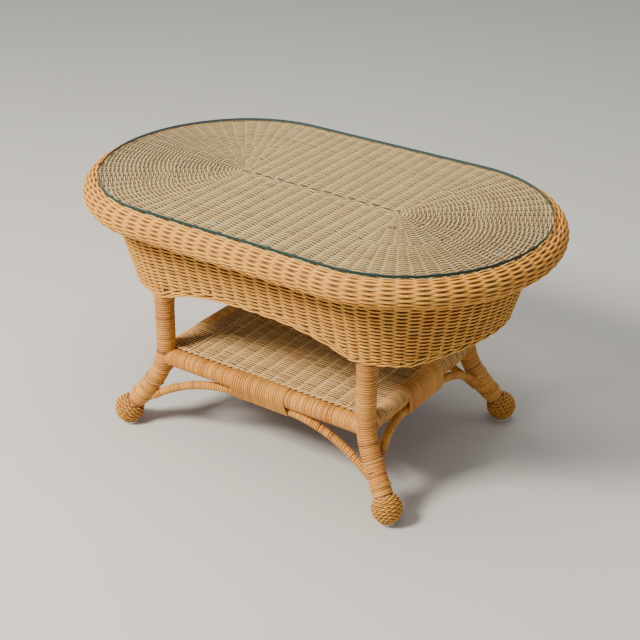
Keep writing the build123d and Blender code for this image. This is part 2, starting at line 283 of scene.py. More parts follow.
def rattan(name, dark, middle, light, shade_colour, coat=0.04):
    """Reed or cane: a tone for each strand, painted shade in the creases and behind other strands, with
    specks and weathered patches.
    """
    material, tree, shader = node_material(name)
    attribute = {}
    for label in ("tone", "flank"):
        node = tree.nodes.new("ShaderNodeAttribute")
        node.attribute_name = label
        attribute[label] = node.outputs["Fac"]
    fleck = noise(tree, FLECKS, 4.0)
    patch = noise(tree, PATCHES, 2.0)
    shade = maths(tree, "ADD", attribute["tone"], maths(tree, "MULTIPLY", patch, 0.45))
    shade = maths(tree, "SUBTRACT", shade, 0.22)
    colour = ramp(tree, shade, [(0.0, dark), (0.5, middle), (1.0, light)])
    specks = ramp(tree, fleck, [(0.35, (0.72, 0.68, 0.62)), (0.6, (1.0, 1.0, 1.0))])
    colour = mix(tree, "MULTIPLY", 0.7, colour, specks)
    # painted shade: a strand's sides and the parts behind other strands turn toward a dark brown
    shade_weight = maths(tree, "MULTIPLY", maths(tree, "POWER", attribute["flank"], 2.0), SHADE_SHARE)
    colour = mix(tree, "MIX", shade_weight, colour, shade_colour)
    tree.links.new(colour, shader.inputs["Base Color"])
    surface(tree, shader, fleck, 0.5, 0.76, 0.35, 0.25 * MM)
    shader.inputs["Specular IOR Level"].default_value = 0.3
    shader.inputs["Coat Weight"].default_value = coat
    shader.inputs["Coat Roughness"].default_value = 0.35
    return material


def pole_material(name):
    """A bare rattan pole, with its grain."""
    material, tree, shader = node_material(name)
    grain = noise(tree, 90.0, 5.0, (1, 1, 0.15))
    dark, middle, light = (0.30, 0.15, 0.06), (0.52, 0.29, 0.12), (0.64, 0.40, 0.19)
    colour = ramp(tree, grain, [(0.3, dark), (0.5, middle), (0.75, light)])
    tree.links.new(colour, shader.inputs["Base Color"])
    surface(tree, shader, grain, 0.45, 0.7, 0.3, 0.4 * MM)
    return material


def plain_material(name, low, high, rough, metallic=0.0):
    """A plain finish between two close colours, with fine specks."""
    material, tree, shader = node_material(name)
    speck = noise(tree, 220.0, 3.0)
    tree.links.new(ramp(tree, speck, [(0.3, low), (0.7, high)]), shader.inputs["Base Color"])
    surface(tree, shader, speck, rough - 0.08, rough + 0.08, 0.1, 0.1 * MM)
    shader.inputs["Metallic"].default_value = metallic
    return material


def glass_material(name):
    """Clear glass that lets light through to the weave, with the green of a thick pane on its edge."""
    material, tree, shader = node_material(name)
    shader.inputs["Base Color"].default_value = (0.020, 0.052, 0.050, 1)
    shader.inputs["Roughness"].default_value = 0.55
    shader.inputs["Specular IOR Level"].default_value = 0.2
    clear = tree.nodes.new("ShaderNodeBsdfTransparent")
    clear.inputs["Color"].default_value = (0.95, 0.985, 0.965, 1)
    shine = tree.nodes.new("ShaderNodeBsdfGlossy")
    shine.inputs["Roughness"].default_value = 0.015
    weight = tree.nodes.new("ShaderNodeLayerWeight")
    head_on, falloff = 0.04, 5.0  # the share that glass reflects straight back, and how it grows to the side
    grazing = maths(tree, "MULTIPLY", maths(tree, "POWER", weight.outputs["Facing"], falloff), 1 - head_on)
    pane = tree.nodes.new("ShaderNodeMixShader")
    tree.links.new(maths(tree, "ADD", grazing, head_on), pane.inputs["Fac"])
    tree.links.new(clear.outputs["BSDF"], pane.inputs[1])
    tree.links.new(shine.outputs["BSDF"], pane.inputs[2])
    place = tree.nodes.new("ShaderNodeNewGeometry")
    split = tree.nodes.new("ShaderNodeSeparateXYZ")
    tree.links.new(place.outputs["Normal"], split.inputs["Vector"])
    flat = maths(tree, "GREATER_THAN", maths(tree, "ABSOLUTE", split.outputs["Z"], 0.0), 0.9)
    whole = tree.nodes.new("ShaderNodeMixShader")
    tree.links.new(flat, whole.inputs["Fac"])
    tree.links.new(shader.outputs["BSDF"], whole.inputs[1])
    tree.links.new(pane.outputs["Shader"], whole.inputs[2])
    tree.links.new(whole.outputs["Shader"], tree.nodes["Material Output"].inputs["Surface"])
    return material


# The last colour of each is its painted shade, for creases and for strands that lie behind others.
HONEY = rattan(
    "honey_reed", (0.58, 0.215, 0.036), (0.90, 0.41, 0.062), (0.98, 0.57, 0.11), (0.080, 0.032, 0.011)
)
PALE = rattan(
    "pale_reed", (0.58, 0.32, 0.11), (0.86, 0.53, 0.20), (0.96, 0.70, 0.33), (0.085, 0.040, 0.016)
)
# Painted shade: a dark reed for stakes and underlays, whose colour stands for the shade behind the rows.
SHADE_REED = rattan(
    "painted_shade_reed", (0.13, 0.052, 0.019), (0.28, 0.115, 0.038), (0.40, 0.18, 0.06), (0.08, 0.033, 0.013)
)
TOP_REED = rattan(
    "top_reed", (0.60, 0.33, 0.12), (0.90, 0.56, 0.22), (0.97, 0.72, 0.37), (0.12, 0.06, 0.024)
)
CANE = rattan(
    "wound_cane", (0.44, 0.155, 0.030), (0.75, 0.325, 0.056), (0.90, 0.48, 0.10), (0.085, 0.030, 0.010),
    coat=0.12,
)
POLE = pole_material("rattan_pole_bare")
PAD = plain_material("clear_pad_rubber", (0.75, 0.77, 0.75), (0.85, 0.86, 0.84), 0.35)
PAD.node_tree.nodes["Principled BSDF"].inputs["Alpha"].default_value = 0.12
GLIDE = plain_material("pale_glide", (0.55, 0.47, 0.36), (0.74, 0.67, 0.55), 0.6)
STEEL = plain_material("fastener_steel", (0.45, 0.45, 0.46), (0.62, 0.62, 0.63), 0.35, metallic=1.0)
STEEL_DARK = plain_material("staple_steel", (0.02, 0.018, 0.016), (0.06, 0.05, 0.045), 0.5, metallic=0.6)
GLASS = glass_material("clear_glass")


# ---- the oval -----------------------------------------------------------------------------------
def oval_samples():
    """Points and outward normals round the glass outline, from the spine's end on the front side."""
    half_length, half_width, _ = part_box("glass_top")[1]
    depth = half_length - STRAIGHT_HALF
    span = depth**2 + half_width**2 - 2 * half_width * SHOULDER_RADIUS
    tip = span / (2 * (depth - SHOULDER_RADIUS))
    shoulder_y, tip_x = half_width - SHOULDER_RADIUS, half_length - tip
    turn = math.atan2(shoulder_y, STRAIGHT_HALF - tip_x)
    quarter = math.pi / 2
    rows = []

    def straight(x0, x1, sign):
        for x in np.linspace(x0, x1, OUTLINE_SAMPLES, endpoint=False):
            rows.append((x, sign * half_width, 0, 0, sign, 0))

    def arc(x, y, radius, start, end):
        for a in np.linspace(start, end, OUTLINE_SAMPLES, endpoint=False):
            c, s = math.cos(a), math.sin(a)
            rows.append((x + radius * c, y + radius * s, 0, c, s, 0))

    straight(-SPINE_HALF, STRAIGHT_HALF, -1)
    arc(STRAIGHT_HALF, -shoulder_y, SHOULDER_RADIUS, -quarter, -turn)
    arc(tip_x, 0, tip, -turn, turn)
    arc(STRAIGHT_HALF, shoulder_y, SHOULDER_RADIUS, turn, quarter)
    straight(STRAIGHT_HALF, -STRAIGHT_HALF, 1)
    arc(-STRAIGHT_HALF, shoulder_y, SHOULDER_RADIUS, quarter, 2 * quarter - turn)
    arc(-tip_x, 0, tip, 2 * quarter - turn, 2 * quarter + turn)
    arc(-STRAIGHT_HALF, -shoulder_y, SHOULDER_RADIUS, 2 * quarter + turn, 3 * quarter)
    straight(-STRAIGHT_HALF, -SPINE_HALF, -1)
    rows.append(rows[0])
    return np.array(rows)


OVAL = oval_samples()
OVAL_RUN = run_along(OVAL[:, :3])
OVAL_LENGTH = OVAL_RUN[-1]


def oval(u):
    """Point and outward normal at length u round the glass outline."""
    table = resample(np.mod(u, OVAL_LENGTH), OVAL_RUN, OVAL)
    return table[..., :3], unit(table[..., 3:])


def stake_runs(step):
    """Where the stakes stand round the oval. step 2 leaves out every second one at the ends."""
    side = 2 * SPINE_HALF
    end = OVAL_LENGTH / 2 - side
    along_side = np.arange(SIDE_STAKES) * side / SIDE_STAKES
    round_end = side + np.arange(0, END_STAKES, step) * end / END_STAKES
    half = np.concatenate([along_side, round_end])
    return np.concatenate([half, half + OVAL_LENGTH / 2])


def close_set(runs):
    """The runs of flat stakes that fill each space between two runs side by side."""
    space = np.append(runs[1:], runs[0] + OVAL_LENGTH) - runs
    return (runs[:, None] + space[:, None] * np.arange(STAKES_SET) / STAKES_SET).ravel()


def row_samples(step, places=CROSSING):
    """Lengths round the oval with samples at those shares between stakes, and the stake count at each."""
    stakes = np.append(stake_runs(step), OVAL_LENGTH)
    phase = (np.arange(len(stakes) - 1)[:, None] + np.array(places)[None]).ravel()
    return np.interp(phase, np.arange(len(stakes)), stakes), phase


UP = np.array([0.0, 0.0, 1.0])


def swings(phase, rows, sharp=0.7):
    """How far in front (1) or behind (-1) a row runs. A low sharp keeps it there for longer."""
    wave = np.cos(math.pi * (phase + rows))
    return np.sign(wave) * np.abs(wave) ** sharp


def weave(bundle, points, normals, phase, first, amplitude, keep=None, radius=REED, tone=0.55, sharp=0.7,
          edge=0.95):
    """Lays closed (S, N) rows that pass in front of every other stake, alternating from row to row."""
    rows = np.arange(points.shape[0])[:, None] + first
    swing = swings(phase, rows, sharp)
    points = points + normals * (swing * amplitude)[..., None]
    tones = RNG.normal(tone, 0.13, (points.shape[0], 1))
    drift = np.stack([wander_loop(points.shape[1], 9, 0.10) for _ in rows])
    size = radius * RNG.normal(1, 0.035, (points.shape[0], 1))
    tones = np.clip(tones + drift, 0, 1)
    # hidden paints shade where a row passes behind the stakes
    bundle.reeds(points, normals, size, tones, True, keep, hidden=np.clip(-swing, 0, 1), edge=edge)


def flat_stakes(name, points, normals):
    """The close-set stakes behind the rows of the rim or the apron, in a dark colour that paints the shade
    they stand in.
    """
    stakes = Bundle()
    tones = RNG.normal(0.15, 0.08, (len(points), 1))
    stakes.reeds(points, normals, STAKE, tones, flat=STAKE_FLAT, hidden=0.8)
    stakes.build(name, SHADE_REED, slot="wicker")


# ---- rolled rim ---------------------------------------------------------------------------------
ROLL_LOW, ROLL_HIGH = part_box("rim_roll_weave")
ROLL_OUTER = (ROLL_HIGH[2] - ROLL_LOW[2]) / 2
ROLL_HEIGHT = (ROLL_HIGH[2] + ROLL_LOW[2]) / 2
ROLL_OFFSET = ROLL_HIGH[0] - ROLL_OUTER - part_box("glass_top")[1][0]
ROLL_ROWS, ROLL_SWING = 28, 1.5 * MM
ROLL_MIDDLE = ROLL_OUTER - ROLL_SWING - ROLL_REED
ROLL_START, ROLL_END = math.radians(102), math.radians(-150)  # from level outwards, with up positive


def roll_surface(u, angle):
    """Point and normal on the rolled rim, at length u and at that angle round the roll."""
    point, normal = oval(u)
    out = normal * np.cos(angle)[..., None] + UP * np.sin(angle)[..., None]
    return point + normal * ROLL_OFFSET + UP * ROLL_HEIGHT + out * ROLL_MIDDLE, out


def rolled_rim():
    """The rim's rows, round the roll from its inner top edge to its inner lower one."""
    u, phase = row_samples(1)
    angles = np.linspace(ROLL_START, ROLL_END, ROLL_ROWS)[:, None]
    ripple = np.stack([wander_loop(len(u), 14, 0.012) for _ in range(ROLL_ROWS)])
    points, normals = roll_surface(np.broadcast_to(u, ripple.shape), angles + ripple)
    rows = Bundle()
    weave(rows, points, normals, phase, 0, ROLL_SWING, radius=ROLL_REED, edge=0.9)
    rows.build("rim_rows", HONEY, "rim_roll_weave", slot="wicker")
    runs, angles = np.meshgrid(close_set(stake_runs(1)), np.linspace(ROLL_START, ROLL_END, 24), indexing="ij")
    points, normals = roll_surface(runs, angles)
    flat_stakes("rim_stakes", points, normals)
# ---- top weave ----------------------------------------------------------------------------------
TOP_SWING, TOP_PITCH = 2.4 * MM, 4.0 * MM
TOP_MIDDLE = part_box("top_weave")[1][2] - TOP_SWING - FINE_REED


def top_surface(u, share):
    """A point on the flat top, a share of the way from the spine out to the glass outline."""
    point, _ = oval(u)
    spine = point * 0
    spine[..., 0] = np.clip(point[..., 0], -SPINE_HALF, SPINE_HALF)
    spine[..., 2] = TOP_MIDDLE
    rim = point + UP * (TOP_MIDDLE + 1.0 * MM)
    return spine + (rim - spine) * share[..., None]


def top_rows():
    """The top's rows, with fewer stakes to go round the nearer they are to the spine."""
    half_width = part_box("glass_top")[1][1]
    count = int((half_width - 2 * MM) / TOP_PITCH)
    shares = 1 - (np.arange(count) * TOP_PITCH + 1.5 * MM) / half_width
    pieces = {
        "top_rows_outer": (1, shares >= 0.5),
        "top_rows_inner": (2, (shares < 0.5) & (shares >= 0.25)),
        "top_rows_heart": (4, shares < 0.25),
    }
    for name, (step, chosen) in pieces.items():
        u, phase = row_samples(step, (0.0, 0.2, 0.4, 0.6, 0.8))
        picked = shares[chosen][:, None]
        ripple = np.stack([wander_loop(len(u), 10, 0.0012) for _ in picked])
        points = top_surface(np.broadcast_to(u, ripple.shape), picked + ripple)
        flat = np.broadcast_to(UP, points.shape)
        bundle = Bundle()
        weave(bundle, points, flat, phase, np.argmax(chosen), TOP_SWING, radius=FINE_REED, sharp=1.1)
        nodes = ("top_weave",) if name == "top_rows_outer" else ()
        bundle.build(name, TOP_REED, *nodes, slot="wicker")


def top_stakes():
    """Round stakes from the spine to the outline. At the ends, only every fourth one starts at the spine."""
    runs = stake_runs(1)
    index = np.arange(len(runs)) % (SIDE_STAKES + END_STAKES) - SIDE_STAKES
    starts = np.where(index % 4 == 0, 0.03, np.where(index % 2 == 0, 0.25, 0.5))
    starts = np.where(index < 0, 0.02, starts)[:, None]
    shares = starts + (1 - starts) * np.linspace(0, 1, 16)
    points = top_surface(np.broadcast_to(runs[:, None], shares.shape), shares)
    # painted shade: a low tone and hidden=0.5 darken the stakes for the shade between the rows
    tones = RNG.normal(0.2, 0.1, (len(runs), 1))
    stakes = Bundle()
    stakes.reeds(points, np.broadcast_to(UP, points.shape), ROUND_STAKE, tones, hidden=0.5)
    spine = np.zeros((1, 30, 3))
    spine[..., 0], spine[..., 2] = np.linspace(-SPINE_HALF, SPINE_HALF, 30), TOP_MIDDLE
    stakes.reeds(spine, np.broadcast_to(UP, spine.shape), ROUND_STAKE, np.full((1, 1), 0.4))
    stakes.build("top_stakes", TOP_REED, slot="wicker")
# ---- apron --------------------------------------------------------------------------------------
APRON_SWING, APRON_PITCH = 2.3 * MM, 3.88 * MM
APRON_SHARP = 1.1
HEM_ROWS = 3  # rows that follow the hem
ROPE_STRANDS, ROPE_STRAND, ROPE_SPREAD, ROPE_LAY = 3, 2.2 * MM, 2.5 * MM, 110 * MM


def apron_surface(u, z):
    """Point and normal in the middle of the apron's weave, at length u and height z."""
    point, normal = oval(u)
    drop = APRON_TOP - z
    offset = -APRON_TOP_INSET - drop * APRON_SLOPE - APRON_SWING - REED
    lean = unit(normal - UP * APRON_SLOPE)
    return point + normal * offset[..., None] + UP * z[..., None], lean


def hem(u):
    """Height of the apron's arched lower edge at length u."""
    point, _ = apron_surface(u, np.full_like(u, HEM_LEVEL))
    x, y = np.abs(point[..., 0]), np.abs(point[..., 1])
    side = SIDE_ARCH[1] * (1 - np.minimum(x / SIDE_ARCH[0], 1) ** ARCH_POWER)
    end = END_ARCH[1] * (1 - np.minimum(y / END_ARCH[0], 1) ** ARCH_POWER)
    return APRON_FOOT + np.maximum(side, end)


def apron():
    """Level rows down to the arches, a few rows that follow the hem, and the stakes behind them all."""
    u, phase = row_samples(1)
    low = hem(u)
    count = int((APRON_TOP - APRON_FOOT) / APRON_PITCH) - HEM_ROWS
    heights = APRON_TOP - 1.5 * MM - np.arange(count)[:, None] * APRON_PITCH
    sag = 1.0 * MM * np.sin(2 * math.pi * 3 * u / OVAL_LENGTH + 1.0)
    ripple = np.stack([wander_loop(len(u), 16, 0.28 * MM) for _ in range(count)])
    z = heights + sag + ripple
    keep = z > low + (HEM_ROWS + 1.0) * APRON_PITCH
    points, normals = apron_surface(np.broadcast_to(u, z.shape), z)
    half = count // 2
    for name, part in (("apron_rows_upper", slice(0, half)), ("apron_rows_lower", slice(half, count))):
        rows = Bundle()
        weave(
            rows, points[part], normals[part], phase, part.start, APRON_SWING, keep[part], sharp=APRON_SHARP
        )
        nodes = ("apron_weave",) if part.start == 0 else ()
        rows.build(name, HONEY, *nodes, slot="wicker")
    z = low + (np.arange(HEM_ROWS) + 1.7)[:, None] * APRON_PITCH + sag * 0.3
    points, normals = apron_surface(np.broadcast_to(u, z.shape), z)
    rows = Bundle()
    weave(rows, points, normals, phase, 0, APRON_SWING, tone=0.6, sharp=APRON_SHARP)
    rows.build("apron_hem_rows", HONEY, slot="wicker")
    runs = close_set(stake_runs(1))
    z = APRON_TOP + (hem(runs)[:, None] - APRON_TOP) * np.linspace(0, 1, 12)
    points, normals = apron_surface(np.broadcast_to(runs[:, None], z.shape), z)
    flat_stakes("apron_stakes", points, normals)


def apron_border():
    """The bent-over stake ends along the hem, which lie round each other like a loose rope."""
    count = 1400
    u = np.arange(count) * OVAL_LENGTH / count
    centre, normal = apron_surface(u, hem(u) + 1.2 * MM)
    turns = round(OVAL_LENGTH / ROPE_LAY)
    rope = Bundle()
    for strand in range(ROPE_STRANDS):
        angle = 2 * math.pi * (turns * u / OVAL_LENGTH + strand / ROPE_STRANDS)
        around = normal * np.cos(angle)[:, None] + UP * np.sin(angle)[:, None]
        tone = np.clip(0.68 + wander_loop(count, 30, 0.12), 0, 1)
        rope.reeds((centre + around * ROPE_SPREAD)[None], normal[None], ROPE_STRAND, tone[None], closed=True)
    rope.build("apron_border_rope", HONEY, slot="wicker")
# ---- poles wound with cane ----------------------------------------------------------------------
def carried_frames(path):
    """Directions along and across a smooth path, turned as little as possible from point to point."""
    along = unit(np.gradient(path, axis=0))
    side = np.zeros_like(path)
    start = np.cross(along[0], [0.31, 0.62, 0.72])  # a direction that no pole follows
    side[0] = start / np.linalg.norm(start)
    for i in range(1, len(path)):
        s = side[i - 1] - along[i] * np.dot(side[i - 1], along[i])
        side[i] = s / np.linalg.norm(s)
    return along, side, np.cross(along, side)


def even(path):
    """The path with evenly spaced points, and their lengths along it."""
    run = run_along(path)
    places = np.linspace(0, run[-1], max(int(run[-1] / PATH_STEP), 8))
    return resample(places, run, path), places


def round_section(radius):
    """The outline of one turn round a pole, with its normals."""
    turn = np.linspace(0, 2 * math.pi, 49)
    ring = np.stack([np.cos(turn), np.sin(turn)], -1)
    return ring * radius, ring
def wind(bundle, path, section, tone, pitch=CANE_PITCH, rise=CANE_RISE, samples=24, frames=None,
         calm=0.0, swell=0.0, relief=1.0):
    """Winds a band of cane round a path. section gives the band's outer line and normals for one turn.

    The turns lie flatter over the length calm at the path's end, and swell widens the path's start. relief
    scales how deep the lines between the turns are, and how much painted shade they take.
    """
    outline, outwards = section
    path, places = even(np.asarray(path, float))
    along, side, up = frames or carried_frames(path)
    length = places[-1]
    turns = length / pitch
    count = int(turns * samples)
    run = np.linspace(0, length, count)
    share = np.mod(run / pitch, 1.0)
    ring = np.linspace(0, 1, len(outline))
    shift, face = resample(share, ring, outline), resample(share, ring, outwards)
    centre, ahead, side, up = (resample(run, places, line) for line in (path, along, side, up))
    out = unit(side * face[:, :1] + up * face[:, 1:])
    widening = swell * np.clip((SWELL_END - run) / SWELL_FADE, 0, 1) ** 1.4
    middle = centre + side * shift[:, :1] + up * shift[:, 1:] + out * widening[:, None]
    turn_index = (run / pitch).astype(int)
    turns_count = turn_index[-1] + 2
    lift = RNG.normal(1, 0.22, turns_count)
    slip = RNG.normal(0, 0.07, turns_count)
    fine = RNG.normal(0, 0.15, turns_count)
    groove = RNG.uniform(0.55, 1.05, turns_count)
    ease = relief * np.clip((length - run) / max(calm, MM), 0.45, 1)

    def smooth(values):
        """One value for each turn, running into the next turn's."""
        return values[turn_index] * (1 - share) + values[turn_index + 1] * share

    bands = wander(turns_count, max(int(turns_count / 7), 3), 0.15)
    tones = np.clip(tone + smooth(bands + fine), 0, 1)
    height = (rise * smooth(lift) * ease)[:, None]
    across = BAND * pitch * 1.02  # each turn reaches a little under the next
    place = across[None] + (smooth(slip) * pitch)[:, None]
    lifted = out[:, None] * (BAND_CROWN * height)[..., None]
    points = middle[:, None] + ahead[:, None] * place[..., None] + lifted
    # painted shade in the lines between the turns
    flank = BAND_SHADE * (smooth(groove) * ease)[:, None]
    bundle.grid(points[None], tones[None, :, None], flank[None])


def leg_path(corner):
    """The leg's centreline, straight down, round its bend and out to the ball foot's centre."""
    sx, sy = CORNERS[corner]
    low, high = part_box(f"leg_post_{corner}")
    x = (low[0] if sx > 0 else high[0]) + sx * POST_RADIUS
    y = (low[1] if sy > 0 else high[1]) + sy * POST_RADIUS
    glide_low, glide_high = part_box(f"foot_glide_{corner}")
    foot_x, foot_y = (glide_low[0] + glide_high[0]) / 2, (glide_low[1] + glide_high[1]) / 2
    ball_low, ball_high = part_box(f"foot_ball_{corner}")
    ball_z = ball_high[2] - (ball_high[0] - ball_low[0]) / 2
    out = np.array([foot_x - x, foot_y - y])
    reach, drop = np.linalg.norm(out), BEND_START - ball_z
    out = out / reach
    radius = (drop * math.sin(BEND_ANGLE) - reach * math.cos(BEND_ANGLE)) / (1 - math.cos(BEND_ANGLE))
    line = [(x, y, z) for z in np.linspace(WRAP_TOP, BEND_START, 12, endpoint=False)]
    for a in np.linspace(0, BEND_ANGLE, 40):
        away = radius * (1 - math.cos(a))
        line.append((x + out[0] * away, y + out[1] * away, BEND_START - radius * math.sin(a)))
    line.append((foot_x, foot_y, ball_z))
    return np.array(line)


def leg(corner):
    """A leg's winding, from under the apron down to the ball foot."""
    path, places = even(leg_path(corner))
    path = path[places < places[-1] - 20 * MM]
    bundle = Bundle()
    wind(bundle, path, round_section(LEG_RADIUS), 0.5, samples=28, calm=70 * MM, swell=4.5 * MM)
    bundle.build(f"leg_cane_{corner}", CANE, f"leg_wrap_{corner}", slot="cane_wrap")


FOOT_ROWS, FOOT_SWING, FOOT_REED = 18, 1.1 * MM, 1.45 * MM
FOOT_RIBS, FOOT_RIB = 16, 2.2 * MM
FOOT_NECK, FOOT_BASE = math.radians(46), math.radians(172)  # from the ankle's line, on the ankle's side


def ball_foot(corner):
    """A foot's basketwork: rows round the ankle's line, over and under ribs from neck to base."""
    line = leg_path(corner)
    centre, axis = line[-1], unit(line[-1] - line[-2])
    low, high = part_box(f"foot_ball_{corner}")
    middle = (high[0] - low[0]) / 2 - FOOT_SWING - FOOT_REED
    side = unit(np.cross(axis, UP))
    up = np.cross(side, axis)

    def shell(polar, turn):
        """Points and normals on the ball, and which of them clear the flat pad below it."""
        polar, turn = np.broadcast_arrays(polar, turn)
        ring = side * np.cos(turn)[..., None] + up * np.sin(turn)[..., None]
        out = ring * np.sin(polar)[..., None] - axis * np.cos(polar)[..., None]
        points = centre + out * middle
        return points, out, points[..., 2] > low[2] + FOOT_REED + FOOT_SWING

    bundle = Bundle()
    phase = np.arange(FOOT_RIBS * 6) / 6
    points, out, keep = shell(
        np.linspace(FOOT_NECK, FOOT_BASE, FOOT_ROWS)[:, None], phase / FOOT_RIBS * 2 * math.pi
    )
    weave(bundle, points, out, phase, 0, FOOT_SWING, keep, FOOT_REED, tone=0.6)
    turn = np.arange(FOOT_RIBS)[:, None] / FOOT_RIBS * 2 * math.pi
    points, out, keep = shell(np.linspace(FOOT_NECK, FOOT_BASE, 16), turn)
    # painted shade: a low tone and hidden=0.8 darken the ribs for the shade between the rows
    tones = RNG.normal(0.2, 0.1, (FOOT_RIBS, 1))
    bundle.reeds(points, out, FOOT_RIB, tones, keep=keep, flat=0.5, hidden=0.8)
    bundle.build(f"foot_basket_{corner}", HONEY, f"foot_ball_{corner}", slot="wicker")
def rail_line(name):
    """The rail's centreline, from its box, and the number of the axis that it lies along."""
    low, high = (np.array(v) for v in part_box(f"shelf_rail_{name}"))
    middle = (low + high) / 2
    axis = int(np.argmax(high - low))
    a, b = middle.copy(), middle.copy()
    a[axis], b[axis] = low[axis], high[axis]
    return np.array([a + (b - a) * t for t in np.linspace(0, 1, 20)]), axis


class Brace:
    """A bent brace's path, below the middle of its rail and down to a leg at each end."""

    def __init__(self, name):
        rail, self.axis = rail_line(name)
        self.rail = rail.mean(axis=0)
        other = 1 - self.axis
        sign = -1 if name in ("front", "left") else 1
        drop = self.rail[2] - (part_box(f"brace_{name}")[1][2] - BRACE_CORE)
        shift = math.sqrt(max((RAIL_RADIUS + BRACE_RADIUS + 0.2 * MM) ** 2 - drop**2, 0))
        self.middle = self.rail.copy()
        self.middle[2] -= drop
        self.middle[other] += sign * shift
        reach, out, end_z, self.straight = BRACE_ENDS[self.axis]
        self.along = np.eye(3)[self.axis]
        fall = np.zeros(3)
        fall[other] = self.rail[other] + sign * out - self.middle[other]
        fall[2] = end_z - self.middle[2]
        depth = np.linalg.norm(fall)
        self.down = fall / depth
        run = reach - self.straight
        self.turn = 2 * math.atan2(depth, run)
        self.radius = run / math.sin(self.turn)
    def path(self):
        line = []
        for a in np.linspace(-self.turn, 0, 40, endpoint=False):
            side = -self.straight + self.radius * math.sin(a)
            line.append(self.middle + self.along * side + self.down * self.radius * (1 - math.cos(a)))
        for t in np.linspace(-self.straight, self.straight, 20, endpoint=False):
            line.append(self.middle + self.along * t)
        for a in np.linspace(0, self.turn, 40):
            side = self.straight + self.radius * math.sin(a)
            line.append(self.middle + self.along * side + self.down * self.radius * (1 - math.cos(a)))
        return np.array(line)


def taut_section(rail_radius, brace_radius, gap):
    """The outline of a band pulled tight round two poles, evenly spaced, with its normals."""
    slant = math.acos((rail_radius - brace_radius) / gap)
    far = [(a, 0.0, rail_radius) for a in np.linspace(slant, 2 * math.pi - slant, 60)]
    near = [(a, gap, brace_radius) for a in np.linspace(-slant, slant, 30)]
    rows = [(x + r * math.cos(a), r * math.sin(a), math.cos(a), math.sin(a)) for a, x, r in far + near]
    rows.append(rows[0])
    rows = np.array(rows)
    run = run_along(rows[:, :2])
    table = resample(np.linspace(0, run[-1], 73), run, rows)
    return table[:, :2], table[:, 2:]


def rail_cane(name):
    """A rail's winding, from leg to leg."""
    line, axis = rail_line(name)
    bundle = Bundle()
    wind(bundle, line, round_section(RAIL_RADIUS), 0.5, samples=28, relief=RAIL_RELIEF[axis])
    bundle.build(f"rail_cane_{name}", CANE, f"rail_wrap_{name}", slot="cane_wrap")


def brace_cane(name):
    """A brace's winding, from end to end."""
    bundle = Bundle()
    wind(bundle, Brace(name).path(), round_section(BRACE_RADIUS), 0.55, samples=16)
    bundle.build(f"brace_cane_{name}", CANE, f"brace_wrap_{name}", slot="cane_wrap")


def binding_cane(name):
    """The cane wound round a rail and its brace together."""
    brace = Brace(name)
    low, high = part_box(f"binding_{name}")
    reach = (high[brace.axis] - low[brace.axis]) / 2
    path = np.array([brace.rail + brace.along * t for t in np.linspace(-reach, reach, 12)])
    across = brace.middle - brace.rail
    gap = np.linalg.norm(across)
    shape = (len(even(path)[0]), 3)
    along, side = np.broadcast_to(brace.along, shape), np.broadcast_to(across / gap, shape)
    section = taut_section(RAIL_RADIUS + BINDING_SKIN, BRACE_RADIUS + BINDING_SKIN, gap)
    bundle = Bundle()
    frames = (along, side, np.cross(along, side))
    wind(bundle, path, section, 0.5, samples=40, rise=1.5 * MM, frames=frames)
    bundle.build(f"binding_cane_{name}", CANE, f"binding_{name}", slot="cane_wrap")


def ankle_bands():
    """A few loose turns of cane round each ankle, a little above the ball foot."""
    bundle = Bundle()
    for corner in CORNERS:
        path, places = even(leg_path(corner))
        path = path[np.abs(places - (places[-1] - ANKLE_BAND)) < 7 * MM]
        wind(bundle, path, round_section(LEG_RADIUS + 1.6 * MM), 0.75, pitch=3.4 * MM, rise=1.5 * MM)
    bundle.build("ankle_cane_bands", CANE, "ankle_ties", slot="cane_wrap")


def ankle_strands():
    """A thin strand tied round each ankle, and the staple that holds its end."""
    strands, staples = Bundle(), Bundle()
    for corner, (sx, sy) in CORNERS.items():
        path, places = even(leg_path(corner))
        along, _, _ = carried_frames(path)
        i, j = (int(np.argmin(np.abs(places - (places[-1] - up)))) for up in (ANKLE_TIE, ANKLE_STAPLE))
        level = unit(np.cross(along[i], UP))
        over = np.cross(level, along[i])
        turn = np.linspace(0, 2 * math.pi, 40, endpoint=False)
        ring = level * np.cos(turn)[:, None] + over * np.sin(turn)[:, None]
        slant = along[i] * (np.sin(turn + 0.6) * 3.5 * MM)[:, None]
        loop = path[i] + ring * (LEG_RADIUS + 0.9 * MM) + slant
        strands.reeds(loop[None], ring[None], 1.0 * MM, np.full((1, 40), 0.95), closed=True)
        face = unit(np.array([sx * 0.25, sy * 1.0, 0.0]))
        face = unit(face - along[j] * np.dot(face, along[j]))
        across = np.cross(along[j], face)
        reach = np.linspace(-5 * MM, 5 * MM, 8)
        bend = np.sqrt(LEG_RADIUS**2 - reach**2)[:, None]
        bar = (path[j] + across * reach[:, None] + face * (bend + 0.3 * MM))[None]
        staples.reeds(bar, np.broadcast_to(face, bar.shape), 0.8 * MM, np.zeros((1, 1)), flat=0.6)
    strands.build("ankle_tie_strands", PALE, slot="cane_wrap")
    staples.build("ankle_staples", STEEL_DARK, slot="steel")
